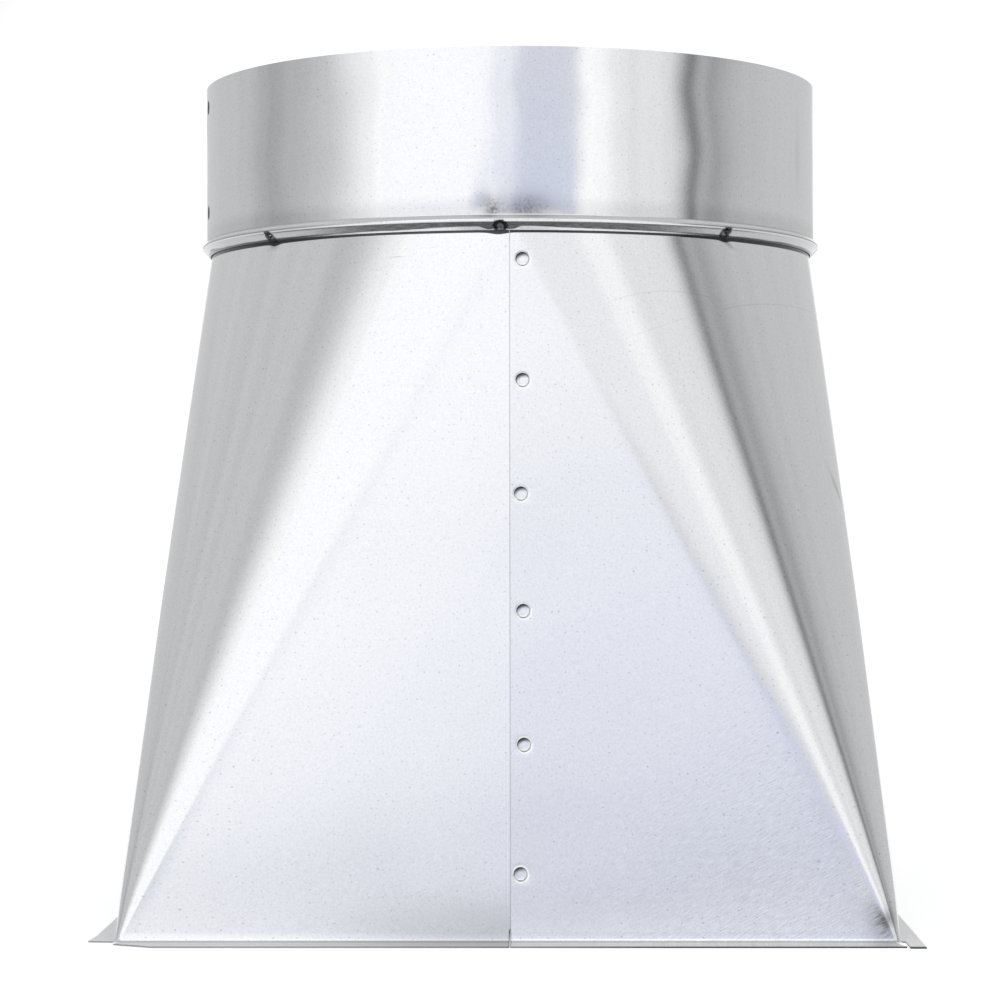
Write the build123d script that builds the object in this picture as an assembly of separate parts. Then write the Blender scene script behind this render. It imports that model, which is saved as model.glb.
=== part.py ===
from build123d import *
import math
import os

# Square-to-round duct transition of galvanised sheet steel, in millimetres, +Z up.
# The origin is at the middle of the base, on the plane that the flanges stand on, and the
# front seam faces -Y. Three sheets make it: two halves of the body and the round collar.

# Sheet, and the play left between two sheets that lie on each other
sheet = 0.55
lap_play = 0.05

# Square base, measured outside where the wall meets the top of the flanges
base_width = 291.0
base_corner_bend = 1.2

# Base flanges, turned out of the body's walls
flange_bend = 1.4
flange_width_front = 11.0
flange_width_right = 7.8
flange_width_left = 8.8
flange_width_back = 11.0
flange_end_relief = 1.4
flange_slit = 0.5

# Ends of the flanges as they were snipped by hand
front_snip_length = 15.0
front_snip_depth = 6.8
front_left_lean = 1.1
front_right_lean = 2.3
right_run = 12.6
right_run_slit = 1.0
left_flare_length = 13.0
left_flare = 1.2
left_end_setback = 2.8

# Body between its base and its neck, which stands inside the collar
body_height = 265.0
neck_clearance = 1.4

# Lap seams down the middle of the body's front and back
seam_offset = 1.5
seam_gap = 0.2
body_lap = 10.5
joggle = 1.3
lap_head_clear = 4.0

# Clinches: pits punched from outside through both sheets of a lap
clinch_mouth = 5.4
clinch_floor = 4.1
clinch_depth = 1.25
clinch_wall = 0.38
clinch_count = 6
clinch_foot = 25.3
clinch_head = 10.0
clinch_drift = [0.0, 1.7, 5.4, 3.3, 0.1, 0.0]
clinch_insets = [3.7, 5.1, 4.9, 4.1, 4.8, 4.8]

# Collar with its own lap seam and two clinches
collar_diameter = 254.0
collar_rise = 70.2
collar_seam_azimuth = -79.1
collar_lap = 10.5
collar_clinch_inset = 4.6
collar_clinch_rim = 8.7
collar_clinch_foot = 11.2

# Bead at the foot of the collar, closed under the turned-out edge of the body
bead_rise = 4.7
bead_projection = 1.76
bead_crest_bend = 1.3
bead_root_bend = 1.6
lip_clearance = 0.1
edge_clearance = 0.12
edge_reach = 2.6

# Crimps punched into the bead: three azimuths as placed by hand, the rest evenly on
crimp_azimuths = [-46.9, -0.9, 41.8]
crimp_spacing = 45.0
crimp_count = 8
crimp_mouth = 3.9
crimp_floor = 2.7
crimp_wall = 0.4
crimp_clearance = 0.15
crimp_stand_off = 0.95
crimp_above_lip = 1.4

half_width = base_width / 2
collar_radius = collar_diameter / 2
neck_radius = collar_radius - sheet - neck_clearance
collar_top = body_height + collar_rise
wall_slope = (half_width - neck_radius) / (body_height - sheet)
wall_tilt = math.atan(wall_slope)
bend_reach = flange_bend + sheet
bend_top = sheet + 2 * bend_reach
bend_end = half_width - flange_end_relief
cutter_reach = base_width + body_height
cut_past = 1.0


def half_at(height):
    """Half width of the body's outside at a height, in the middle of a side."""
    return half_width - wall_slope * (height - sheet)


def transition(inset, corner_bend):
    """Solid square-to-round form: four flat triangles and four conical corners."""
    foot_half = half_at(0) - inset
    crown_radius = neck_radius - inset
    corner_centre = foot_half - corner_bend
    foot_arcs = []
    crown_arcs = []
    for turn in range(4):
        start = 90 * turn - 90
        across = math.radians(start + 45)
        centre_x = math.copysign(corner_centre, math.cos(across))
        centre_y = math.copysign(corner_centre, math.sin(across))
        foot_arcs.append(CenterArc((centre_x, centre_y, 0), corner_bend, start, 90).edge())
        crown_arcs.append(CenterArc((0, 0, body_height), crown_radius, start, 90).edge())
    corners = [Face.make_surface_from_curves(*pair) for pair in zip(foot_arcs, crown_arcs)]
    flats = []
    foot_lines = []
    for turn in range(4):
        left = foot_arcs[turn - 1] @ 1
        right = foot_arcs[turn] @ 0
        apex = crown_arcs[turn] @ 0
        flats.append(Face(Wire.make_polygon([left, right, apex], close=True)))
        foot_lines.append(Line(left, right).edge())
    foot = Face(Wire(foot_arcs + foot_lines))
    crown = Face(Wire(crown_arcs))
    return Solid(Shell(corners + flats + [foot, crown]))


def bent_line(points, bends):
    """Line in the XZ plane through (reach, height) points, with a bend at each inner corner."""
    return FilletPolyline(*[(reach, 0, height) for reach, height in points], radius=bends).wire()


def shifted(points, offset):
    """The same (reach, height) points, moved to the left of their line by an offset."""
    moved = []
    for index, spot in enumerate(points):
        before = points[max(index - 1, 0):index + 1]
        after = points[index:index + 2]
        legs = [leg for leg in (before, after) if len(leg) == 2]
        lean = Vector(0, 0)
        for first, second in legs:
            lean += Vector(first[1] - second[1], second[0] - first[0]).normalized()
        lean *= offset * len(legs) / lean.length ** 2
        moved.append((spot[0] + lean.X, spot[1] + lean.Y))
    return moved


def sheet_face(points, bends, back_points, back_bends):
    """Cross-section of a bent sheet between its front line and its back line."""
    front = bent_line(points, bends)
    back = bent_line(back_points, back_bends)
    ends = [Line(front @ 0, back @ 0).edge(), Line(front @ 1, back @ 1).edge()]
    return Face(Wire(list(front.edges()) + list(back.edges()) + ends))


def punch(mouth_frame, mouth, floor, depth, grow, start):
    """Tapered plug of a pit, or of the cup round it where grow is its wall.

    It ends at the pit's floor and begins at a height over the pit's mouth.
    """
    taper = (mouth - floor) / 2 / depth
    low_radius = floor / 2 + grow
    high_radius = low_radius + taper * (depth + start)
    drop = depth + grow
    frame = Plane(mouth_frame.origin - mouth_frame.z_dir * drop, z_dir=mouth_frame.z_dir)
    return Solid.make_cone(low_radius, high_radius, drop + start, frame)


def between(low, high):
    """Box between two opposite corners."""
    size = [second - first for first, second in zip(low, high)]
    return Pos(*low) * Box(*size, align=(Align.MIN, Align.MIN, Align.MIN))


def around(azimuth):
    """Unit vector outwards at an azimuth, counted from -Y towards +X."""
    angle = math.radians(azimuth)
    return Vector(math.sin(angle), -math.cos(angle), 0)


# Body sheets: the wall, and the tongue that lies under the other half's edge

outer_form = transition(0, base_corner_bend + sheet)
inner_form = transition(sheet, base_corner_bend)
tongue_front_form = transition(sheet + lap_play, base_corner_bend)
tongue_back_form = transition(2 * sheet + lap_play, base_corner_bend)
wall = outer_form - inner_form
tongue_sheet = tongue_front_form - tongue_back_form
joggle_sheet = inner_form - tongue_back_form

# Places that the bead of the collar and the turned edge of the body share

crest_reach = collar_radius + bead_projection + bead_crest_bend * (math.sqrt(2) - 1)
bead_crest = body_height + bead_rise
bead_root = bead_crest + crest_reach - collar_radius
lip_reach = neck_radius + lip_clearance + sheet / math.sqrt(2)
lip_height = bead_crest - (crest_reach - lip_reach)
edge_turn = lip_height + sheet / math.sqrt(2) + edge_clearance * math.sqrt(2) - lip_clearance
crimp_height = lip_height + crimp_above_lip
crimp_mouth_reach = collar_radius + bead_projection
crimp_depth = crimp_mouth_reach - neck_radius - crimp_stand_off
crimp_steps = range(1, crimp_count - len(crimp_azimuths) + 1)
crimp_rest = [crimp_azimuths[-1] + crimp_spacing * step for step in crimp_steps]


def crimp_punches(grow):
    """Plugs of all the crimps round the bead, grown by a wall or a clearance."""
    plugs = []
    for azimuth in crimp_azimuths + crimp_rest:
        outward = around(azimuth)
        spot = outward * crimp_mouth_reach + Vector(0, 0, crimp_height)
        frame = Plane(spot, z_dir=outward)
        plugs.append(punch(frame, crimp_mouth, crimp_floor, crimp_depth, grow, bead_projection))
    return plugs


def neck_and_edge():
    """Neck of the body, with its top edge turned out and notched at the crimps."""
    outside = [
        (neck_radius, body_height),
        (neck_radius, edge_turn),
        (neck_radius + edge_reach, edge_turn + edge_reach),
    ]
    section = sheet_face(outside, lip_clearance + sheet, shifted(outside, sheet), lip_clearance + 2 * sheet)
    return revolve(section, Axis.Z, 360) - crimp_punches(crimp_wall + crimp_clearance)


def seam_clinches(mouth_start, grow):
    """Plugs of the clinches down the front seam."""
    plugs = []
    span = body_height - clinch_head - clinch_foot
    outward = Vector(0, -math.cos(wall_tilt), math.sin(wall_tilt))
    for index in range(clinch_count):
        height = clinch_foot + span * index / (clinch_count - 1) + clinch_drift[index]
        spot = Vector(seam_offset + clinch_insets[index], -half_at(height), height)
        frame = Plane(spot, z_dir=outward)
        plugs.append(punch(frame, clinch_mouth, clinch_floor, clinch_depth, grow, mouth_start))
    return plugs


def turned_round(solids):
    """The same solids on the opposite side of the body."""
    return [Rot(0, 0, 180) * solid for solid in solids]


def flange(side, start, end, outline):
    """Flange of one side: its bend from start to end, and its flat plate.

    side counts quarter turns from the front. The outline holds (along, out) points from
    the wall's line, counted to the right as seen from outside.
    """
    wall_top = (-wall_slope * (bend_top - sheet), bend_top)
    section = sheet_face(
        [(bend_reach, sheet), (0, sheet), wall_top],
        flange_bend,
        [(bend_reach, 0), (wall_slope * sheet - sheet, 0), (wall_top[0] - sheet, bend_top)],
        flange_bend + sheet,
    )
    bend = extrude(section, amount=end - start, dir=(0, 1, 0))
    bend = Pos(half_width, start, 0) * bend
    corners = [(half_width + out, along) for along, out in outline]
    plate = extrude(Face(Wire.make_polygon(corners, close=True)), amount=sheet, dir=(0, 0, 1))
    return Rot(0, 0, 90 * side - 90) * (bend + plate)


def body_half(own_sides, turn):
    """Half of the body, made as if it were the right one and then turned about Z.

    own_sides are the (side, start, end, outline) of its flanges before that turn.
    """
    edge_front = seam_offset
    edge_back = -seam_offset + seam_gap
    keep_front = between((edge_front, -cutter_reach, -cut_past), (cutter_reach, 0, cutter_reach))
    keep_back = between((edge_back, 0, -cut_past), (cutter_reach, cutter_reach, cutter_reach))
    blank = (wall & (keep_front + keep_back))
    blank += (Rot(0, 0, -turn) * neck) & (keep_front + keep_back)
    lap_top = body_height - lap_head_clear
    joggled = edge_back + joggle
    joggle_zone = between((edge_back, 0, bend_top), (joggled, cutter_reach, lap_top))
    tongue_zone = between((edge_back - body_lap, 0, bend_top), (joggled, cutter_reach, lap_top))
    blank += joggle_sheet & joggle_zone
    blank += tongue_sheet & tongue_zone
    blank -= between((-cutter_reach, -cutter_reach, -cut_past), (cutter_reach, cutter_reach, sheet))
    for side, start, end, outline in own_sides:
        relief = between((half_width - bend_top, start, -cut_past), (cutter_reach, end, bend_top))
        blank -= Rot(0, 0, 90 * side - 90) * relief
        blank += flange(side, start, end, outline)
    blank += seam_clinches(-sheet / 2, clinch_wall)
    blank -= seam_clinches(sheet, 0)
    tongue_start = -sheet - lap_play - sheet / 2
    blank += turned_round(seam_clinches(tongue_start, 2 * clinch_wall + lap_play))
    blank -= turned_round(seam_clinches(sheet, clinch_wall + lap_play))
    return Rot(0, 0, turn) * blank


neck = neck_and_edge()
slit_edge = seam_offset - flange_slit
front_tip = half_width + right_run
tab_inside = front_right_lean - flange_end_relief + right_run_slit
tip_end = half_width - left_end_setback

front_right_plate = [
    (seam_offset, bend_reach),
    (seam_offset, flange_width_front),
    (bend_end + front_right_lean, flange_width_front),
    (bend_end + front_right_lean, bend_reach),
]
right_plate = [
    (bend_end, bend_reach),
    (bend_end, flange_width_right),
    (-front_tip, flange_width_right),
    (-front_tip, tab_inside),
    (-bend_end, tab_inside),
    (-bend_end, bend_reach),
]
back_right_plate = [
    (-bend_end, bend_reach),
    (-bend_end, flange_width_back),
    (slit_edge, flange_width_back),
    (slit_edge, bend_reach),
]
back_left_plate = [
    (seam_offset, bend_reach),
    (seam_offset, flange_width_back),
    (bend_end, flange_width_back),
    (bend_end, bend_reach),
]
left_plate = [
    (-bend_end, bend_reach),
    (-bend_end, flange_width_left),
    (tip_end - left_flare_length, flange_width_left),
    (tip_end, flange_width_left + left_flare),
    (bend_end, bend_reach),
]
front_left_plate = [
    (-bend_end, bend_reach),
    (-bend_end - front_left_lean, flange_width_front - front_snip_depth),
    (-bend_end - front_left_lean + front_snip_length, flange_width_front),
    (slit_edge, flange_width_front),
    (slit_edge, bend_reach),
]
right_sides = [
    (0, seam_offset, bend_end, front_right_plate),
    (1, -bend_end, bend_end, right_plate),
    (2, -bend_end, slit_edge, back_right_plate),
]
left_sides = [
    (0, seam_offset, bend_end, back_left_plate),
    (1, -bend_end, bend_end, left_plate),
    (2, -bend_end, slit_edge, front_left_plate),
]
body_right = body_half(right_sides, 0)
body_left = body_half(left_sides, 180)

# Collar: a ring with its bead, slit at its seam, and the tongue under the slit

rim_line = [
    (lip_reach, lip_height),
    (crest_reach, bead_crest),
    (collar_radius, bead_root),
    (collar_radius, collar_top),
]
rim_bends = [bead_crest_bend, bead_root_bend]
back_bends = [max(bead_crest_bend - sheet, sheet / 3), bead_root_bend + sheet]
ring = revolve(sheet_face(rim_line, rim_bends, shifted(rim_line, sheet), back_bends), Axis.Z, 360)
outline = bent_line(rim_line, rim_bends)
lip_centre = Vector(0, 0, lip_height)
rim_centre = Vector(0, 0, collar_top)
closing = Wire.make_polygon([outline @ 1, rim_centre, lip_centre, outline @ 0], close=False)
collar_form = revolve(Face(Wire(list(outline.edges()) + list(closing.edges()))), Axis.Z, 360)
cups = [plug & collar_form for plug in crimp_punches(crimp_wall)]


def seam_sector(start, end, inner, outer):
    """Curved strip between two distances round the collar, counted from the sheet's edge."""
    span = math.degrees((end - start) / collar_radius)
    low = bead_root + bead_root_bend
    first = collar_seam_azimuth - 90 + math.degrees(start / collar_radius)
    tall = Plane.XY.offset(low)
    strip = Solid.make_cylinder(outer, collar_top - low, tall, span)
    strip -= Solid.make_cylinder(inner, collar_top - low + cut_past, tall, 360)
    return Rot(0, 0, first) * strip


def collar_clinches(mouth_start, grow):
    """Plugs of the two clinches on the collar's seam."""
    azimuth = collar_seam_azimuth + math.degrees(collar_clinch_inset / collar_radius)
    outward = around(azimuth)
    plugs = []
    for height in (bead_root + collar_clinch_foot, collar_top - collar_clinch_rim):
        frame = Plane(outward * collar_radius + Vector(0, 0, height), z_dir=outward)
        plugs.append(punch(frame, clinch_mouth, clinch_floor, clinch_depth, grow, mouth_start))
    return plugs


slit_angle = math.degrees(seam_gap / collar_radius)
slit = Solid.make_cylinder(cutter_reach, cutter_reach, Plane.XY, slit_angle)
slit = Rot(0, 0, collar_seam_azimuth - 90 - slit_angle) * slit
collar = ring - slit
tongue_back = collar_radius - 2 * sheet - lap_play
tongue = seam_sector(-seam_gap - joggle, collar_lap, tongue_back, collar_radius - sheet - lap_play)
tongue += seam_sector(-seam_gap - joggle, -seam_gap, tongue_back, collar_radius - sheet / 2)
tongue_start = -sheet - lap_play - sheet / 2
tongue += collar_clinches(tongue_start, 2 * clinch_wall + lap_play)
tongue -= collar_clinches(sheet, clinch_wall + lap_play)
collar += collar_clinches(-sheet / 2, clinch_wall)
collar -= collar_clinches(sheet, 0)
collar += cups
collar -= crimp_punches(0)
collar += tongue

os.makedirs("parts", exist_ok=True)
for name, shape in (("collar", collar), ("body_right", body_right), ("body_left", body_left)):
    export_step(shape, f"parts/{name}.step")
    box = shape.bounding_box()
    print(name, len(shape.solids()), shape.is_valid, round(shape.volume, 1), box.min, box.max)
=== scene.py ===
import math

import bpy
import numpy as np
from mathutils import Matrix, Vector


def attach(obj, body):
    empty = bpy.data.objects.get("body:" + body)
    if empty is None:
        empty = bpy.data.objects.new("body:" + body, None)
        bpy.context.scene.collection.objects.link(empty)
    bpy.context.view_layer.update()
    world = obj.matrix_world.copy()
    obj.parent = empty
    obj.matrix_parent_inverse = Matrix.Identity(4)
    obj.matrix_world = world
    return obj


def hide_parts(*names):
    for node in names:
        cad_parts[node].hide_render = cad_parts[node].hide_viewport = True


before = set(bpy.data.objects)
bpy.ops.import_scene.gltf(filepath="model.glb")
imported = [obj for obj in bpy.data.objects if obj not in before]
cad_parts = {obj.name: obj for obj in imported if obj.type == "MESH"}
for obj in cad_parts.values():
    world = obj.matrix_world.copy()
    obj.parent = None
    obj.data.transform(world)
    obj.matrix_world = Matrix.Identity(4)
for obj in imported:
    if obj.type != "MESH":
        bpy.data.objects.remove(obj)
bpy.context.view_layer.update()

# Camera: level with the lower half of the duct and nearly square to its front seam, on a
# long lens, so that the rim bows up and the flanges are seen almost edge on.

camera_data = bpy.data.cameras.new("studio_camera")
camera_data.sensor_width = 36.0
camera_data.lens = 103.06
camera_data.clip_end = 60.0
camera = bpy.data.objects.new("studio_camera", camera_data)
bpy.context.scene.collection.objects.link(camera)
camera_spot = Vector((0.0165, -1.2043, 0.1576))
camera_look = Vector((-0.0175, 1.0, 0.0060)).normalized()
camera_side = camera_look.cross(Vector((0.0, 0.0, 1.0))).normalized()
camera_up = camera_side.cross(camera_look)
camera_turn = Matrix((camera_side, camera_up, -camera_look)).transposed()
camera_roll = Matrix.Rotation(0.0025, 3, camera_look)
camera.matrix_world = Matrix.Translation(camera_spot) @ (camera_roll @ camera_turn).to_4x4()
bpy.context.scene.camera = camera
bpy.context.scene.view_settings.view_transform = "Standard"

# Body, two halves of one square-to-round taper: 0.55 mm galvanised sheet, cut flat, rolled
# round at the corners, and lapped and clinched down the middle of the front and the back.
# Each half has the front strip of one seam and the joggled tongue of the other.

MM = 0.001

# The form that a half is bent round: flat sides that lean in, and corners rolled to foot_bend
# at the foot and to neck_radius at the neck
sheet = 0.55 * MM
lap_play = 0.05 * MM
half_width = 145.5 * MM
body_height = 265.0 * MM
neck_radius = 125.05 * MM
wall_slope = (half_width - neck_radius) / (body_height - sheet)
foot_half = half_width + wall_slope * sheet
foot_bend = 1.75 * MM
foot_core = foot_half - foot_bend

# Flange bend: its inner radius, and how high and how far out from the wall it reaches
flange_bend = 1.4 * MM
bend_top = 4.45 * MM
bend_reach = 1.95 * MM

# The front strip runs from the seam's edge to strip_end. At the back, the outer sheet parts
# from its own tongue between 0 and the seam's edge, and the tongue runs on to tongue_end.
seam_edge = 1.5 * MM
seam_back_edge = 1.3 * MM
back_steps = [-6.0 * MM, -2.0 * MM, 0.0]
parting_steps = [0.0, 0.7 * MM, seam_back_edge]
strip_end = 10.3 * MM
tongue_end = 11.8 * MM
tongue_front = sheet + lap_play
tongue_back = 2 * sheet + lap_play
lap_top = 261.0 * MM
row_step = 4.6 * MM
neck_rows = [lap_top, 262.6 * MM, 264.0 * MM, 264.7 * MM, body_height]

# Clinches, in mm up the seam and in mm to its right. Each has a window in the sheet's cells.
clinch_rows = [25.3, 72.94, 122.58, 166.42, 209.16, 255.0]
clinch_across = [5.2, 6.6, 6.4, 5.6, 6.3, 6.3]
clinch_window = 4.4 * MM
window_cells = 8
window_step = 2 * clinch_window / window_cells

# (radius, depth) round a clinch, from the flat sheet in to the floor of the pit, in mm: the
# outer sheet's front and back, and the front and back of the cup under it
pit_front = [
    (3.4, 0.0), (2.95, 0.02), (2.72, 0.1), (2.6, 0.3), (2.5, 0.72), (2.4, 1.08), (2.25, 1.22),
    (1.75, 1.25), (0.8, 1.25),
]
pit_back = [
    (3.6, 0.55), (3.4, 0.56), (3.22, 0.62), (3.08, 0.8), (2.85, 1.2), (2.62, 1.5), (2.4, 1.61),
    (1.9, 1.63), (0.9, 1.63),
]
cup_front = [
    (3.65, 0.6), (3.3, 0.62), (3.1, 0.7), (2.96, 0.88), (2.76, 1.2), (2.6, 1.5), (2.46, 1.65),
    (2.0, 1.68), (1.0, 1.68),
]
cup_back = [
    (3.7, 1.15), (3.6, 1.17), (3.46, 1.25), (3.32, 1.45), (3.14, 1.75), (2.98, 1.98), (2.8, 2.05),
    (2.2, 2.06), (1.1, 2.06),
]

# Painted shade of each of those rings, at most, on the upper side of the pit where the shade falls, and
# how fast that fades to either side on the pit's wall and on its floor
pit_shade = [0.0, 0.0, 0.2, 0.8, 1.0, 1.0, 1.0, 0.9, 0.0]
shaded_side = math.radians(112)
even_shade = 0.1
pit_floor = 2.0
wall_fade = 0.6
floor_fade = 1.6


def core(height):
    """Half length of the flat part of a side at a height."""
    return foot_core * max(0.0, 1.0 - height / body_height)


def bend(height):
    """Radius of the rolled corners at a height."""
    rise = min(1.0, height / body_height)
    return foot_bend * (1.0 - rise) + neck_radius * rise


def inside_window(index, starts):
    """Whether a row of cells lies in one of the windows that are left open for clinches."""
    return any(start <= index < start + window_cells for start in starts)


class Blank:
    """A sheet as it is cut and punched, before it is rolled.

    Each point has a front and a back, and each of these is (along, across, turn, height,
    depth, reach, grime): its place on the form, its height, its depth below the form's
    outer face, how far a flange reaches out from it, and how much painted shade darkens it.
    """

    def __init__(self):
        self.fronts = []
        self.backs = []
        self.cells = []

    def point(self, front, back, grime=0.0):
        """Adds a point from its front and its back, and gives its number."""
        self.fronts.append((*front, grime))
        self.backs.append((*back, grime))
        return len(self.fronts) - 1

    def fill(self, rows):
        """Cells between rows of points that run to the right, the lowest row first."""
        for low, high in zip(rows, rows[1:]):
            for index in range(len(low) - 1):
                self.cells.append((low[index], low[index + 1], high[index + 1], high[index]))

    def wall(self, net, windows):
        """Cells of the outer sheet's rows, with the windows of its first columns left open."""
        for index, (low, high) in enumerate(zip(net, net[1:])):
            self.fill([low[window_cells:], high[window_cells:]])
            if not inside_window(index, windows):
                self.fill([low[:window_cells + 1], high[:window_cells + 1]])

    def lap(self, net, tongue, first_row, windows):
        """Cells of the tongue's rows, hung on the ends of the outer sheet's rows."""
        for index, (low, high) in enumerate(zip(tongue, tongue[1:]), first_row):
            self.fill([[net[index][-1], low[0]], [net[index + 1][-1], high[0]]])
            self.fill([low[:2], high[:2]])
            self.fill([low[-2:], high[-2:]])
            if not inside_window(index, windows):
                self.fill([low[1:-1], high[1:-1]])

    def punch(self, net, window, centre, place, front_rings, back_rings, shades, all_round):
        """A round pit in a window of a net, which is given by its lowest row and left column.

        Its rings run round from the lower left corner, at -135 degrees.
        """
        start, left = window
        right, end = left + window_cells, start + window_cells
        outer = [net[start][column] for column in range(left, right)]
        outer += [net[row][right] for row in range(start, end)]
        outer += [net[end][column] for column in range(right, left, -1)]
        outer += [net[row][left] for row in range(end, start, -1)]
        count = len(outer)

        def at(radius, angle):
            return place(centre[0] + radius * MM * math.cos(angle), centre[1] + radius * MM * math.sin(angle))

        for (front_radius, front_depth), (back_radius, back_depth), darkest in zip(
                front_rings, back_rings, shades):
            ring = []
            for index in range(count):
                angle = math.radians(-135 + 360 * index / count)
                front, back = at(front_radius, angle), at(back_radius, angle)
                # Painted shade: strongest on the pit's shaded upper side, with an even share all round
                fade = floor_fade if front_radius < pit_floor else wall_fade
                shaded = max(0.0, math.cos(angle - shaded_side)) ** fade
                shade = darkest * min(1.0, all_round + shaded)
                ring.append(self.point((*front, front_depth * MM, 0), (*back, back_depth * MM, 0), shade))
            for index in range(count):
                after = (index + 1) % count
                self.cells.append((outer[index], outer[after], ring[after], ring[index]))
            outer = ring
        spot = place(*centre)
        middle = self.point((*spot, front_rings[-1][1] * MM, 0), (*spot, back_rings[-1][1] * MM, 0))
        for index in range(count):
            self.cells.append((outer[index], outer[(index + 1) % count], middle))

    def mesh(self, name):
        """The closed sheet as a mesh, with its places kept as named values of its points."""
        count = len(self.fronts)
        faces = list(self.cells)
        faces += [tuple(count + index for index in reversed(cell)) for cell in self.cells]
        skins = len(faces)
        runs = {(cell[i], cell[(i + 1) % len(cell)]) for cell in self.cells for i in range(len(cell))}
        for first, second in sorted(runs):
            if (second, first) not in runs:
                faces.append((second, first, first + count, second + count))
        values = np.array(self.fronts + self.backs, float)
        made = bpy.data.meshes.new(name)
        made.from_pydata(values[:, :3].tolist(), [], faces)
        for index, label in ((3, "height"), (4, "depth"), (5, "reach"), (6, "grime")):
            layer = made.attributes.new(label, "FLOAT", "POINT")
            layer.data.foreach_set("value", values[:, index].astype(np.float32))
        skin = made.attributes.new("skin", "FLOAT", "POINT")
        skin.data.foreach_set("value", np.repeat((0.0, 1.0), count).astype(np.float32))
        cut = made.attributes.new("cut", "FLOAT", "FACE")
        cut.data.foreach_set("value", np.repeat((0.0, 1.0), (skins, len(faces) - skins)).astype(np.float32))
        return made


def front_place(across, height):
    """Place on the form, across its front and at a height."""
    flat, radius = core(height), bend(height)
    if abs(across) <= flat:
        return (across / flat if flat else 0.0, -1.0, -math.pi / 2, height)
    turn = math.acos(min(1.0, (abs(across) - flat) / radius))
    if across > 0:
        return (1.0, -1.0, -turn, height)
    return (-1.0, -1.0, turn - math.pi, height)


def back_place(along, height):
    """Place on the form, counted to the right across its back as seen from behind."""
    x, y, turn, height = front_place(-along, height)
    return (x, -y, -turn, height)


# Cells round the form: on each rolled corner, on the side, and on the rest of the front
corner_cells = 56
side_cells = 44
front_cells = 26


def wall_places(height):
    """Places round the form from the end of the front strip to the start of the back strip."""
    flat = core(height)
    reach = max(flat, strip_end)
    places = []
    for index in range(front_cells + 1):
        share = index / front_cells
        places.append(front_place(strip_end + (reach - strip_end) * share, height))
    start = places[-1][2] if flat < strip_end else -math.pi / 2
    for index in range(1, corner_cells + 1):
        places.append((1.0, -1.0, start * (1.0 - index / corner_cells), height))
    for index in range(1, side_cells + 1):
        places.append((1.0, -1.0 + 2.0 * index / side_cells, 0.0, height))
    for index in range(1, corner_cells + 1):
        places.append((1.0, 1.0, -start * index / corner_cells, height))
    for index in range(1, front_cells + 1):
        share = 1.0 - index / front_cells
        places.append(back_place(-(strip_end + (reach - strip_end) * share), height))
    return places


def spread(start, end, step):
    """Even steps from the start up to the end, which is left out, of about the given size."""
    count = max(1, round((end - start) / step))
    return [start + (end - start) * index / count for index in range(count)]


def clinched_rows(level, centres, left_out=0):
    """Heights of rows from a level up past clinches, and the rows where their windows start."""
    levels, starts = [], []
    for centre in centres:
        window_low, window_high = centre - clinch_window, centre + clinch_window
        levels += spread(level, window_low, row_step)[left_out:]
        starts.append(len(levels))
        levels += spread(window_low, window_high, window_step)
        level = window_high
    return [*levels, level], starts


wall_rows, window_starts = clinched_rows(bend_top, [row * MM for row in clinch_rows])
wall_rows += neck_rows
lap_rows = wall_rows.index(lap_top) + 1

# (reach, height) of the neck and its turned-out edge, on the outside and on the inside, in mm
neck_front = [(0, 265.5), (0, 266.13), (0.05, 266.32), (0.19, 266.59), (1.2, 267.6), (2.6, 269.0)]
neck_back = [
    (-0.55, 265.5), (-0.55, 266.13), (-0.47, 266.53), (-0.2, 266.98), (0.81, 267.99), (2.21, 269.388)]

# Crimps of the bead, in degrees round from the front, left minus. Beyond its first whole_rows
# the turned-out edge is open under each, to crimp_gap degrees on either side.
crimp_azimuths = [-46.9, -0.9, 41.8, 86.8, 131.8, 176.8, 221.8, 266.8]
crimp_gap = 1.9
whole_rows = 3

strip_width = strip_end - seam_edge
strip_steps = [seam_edge + strip_width * index / window_cells for index in range(window_cells + 1)]

# Flange plates by side, front, right, back: where the plate starts and ends on the bend, and
# its far edge as (along, out), counted to the right as seen from outside, in mm. The right
# side's plate runs on past the front wall as a tab.
right_plates = [
    ((1.5, 144.1), [(1.5, 11.0), (146.4, 11.0)]),
    ((-144.1, 144.1), [(-144.1, 7.8), (144.1, 7.8)]),
    ((-144.1, 1.0), [(-144.1, 11.0), (1.0, 11.0)]),
]
left_plates = [
    ((1.5, 144.1), [(1.5, 11.0), (144.1, 11.0)]),
    ((-144.1, 144.1), [(-144.1, 8.8), (129.7, 8.8), (142.7, 10.0)]),
    ((-144.1, 1.0), [(-145.2, 4.2), (-130.2, 11.0), (1.0, 11.0)]),
]
right_tab = [-146.5, -150.0, -154.0, -158.1]
front_side, right_side, back_side = range(3)

# Steps out across a plate, steps round its bend, and rows down the foot of a rolled corner
plate_shares = [0.0, 0.2, 0.45, 0.7, 0.88, 1.0]
bend_steps = 9
corner_levels = [3.4 * MM, 2.6 * MM, 1.9 * MM, 1.2 * MM, 0.8 * MM, sheet]


def side_place(side, along, height, out):
    """Place on a flange: along a side, at a height, out from the line of its wall."""
    flat, radius = core(height), bend(height)
    share = along / flat
    reach = half_width + out - flat - radius
    if side == front_side:
        return (share, -1.0, -math.pi / 2, height), reach
    if side == right_side:
        return (1.0, share, 0.0, height), reach
    return (-share, 1.0, math.pi / 2, height), reach


def flange_point(blank, side, along, front, back):
    """A point of a flange from (out, height) of its top face and of its underside."""
    front_spot, front_reach = side_place(side, along, front[1], front[0])
    back_spot, back_reach = side_place(side, along, back[1], back[0])
    return blank.point((*front_spot, 0, front_reach), (*back_spot, 0, back_reach))


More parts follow.
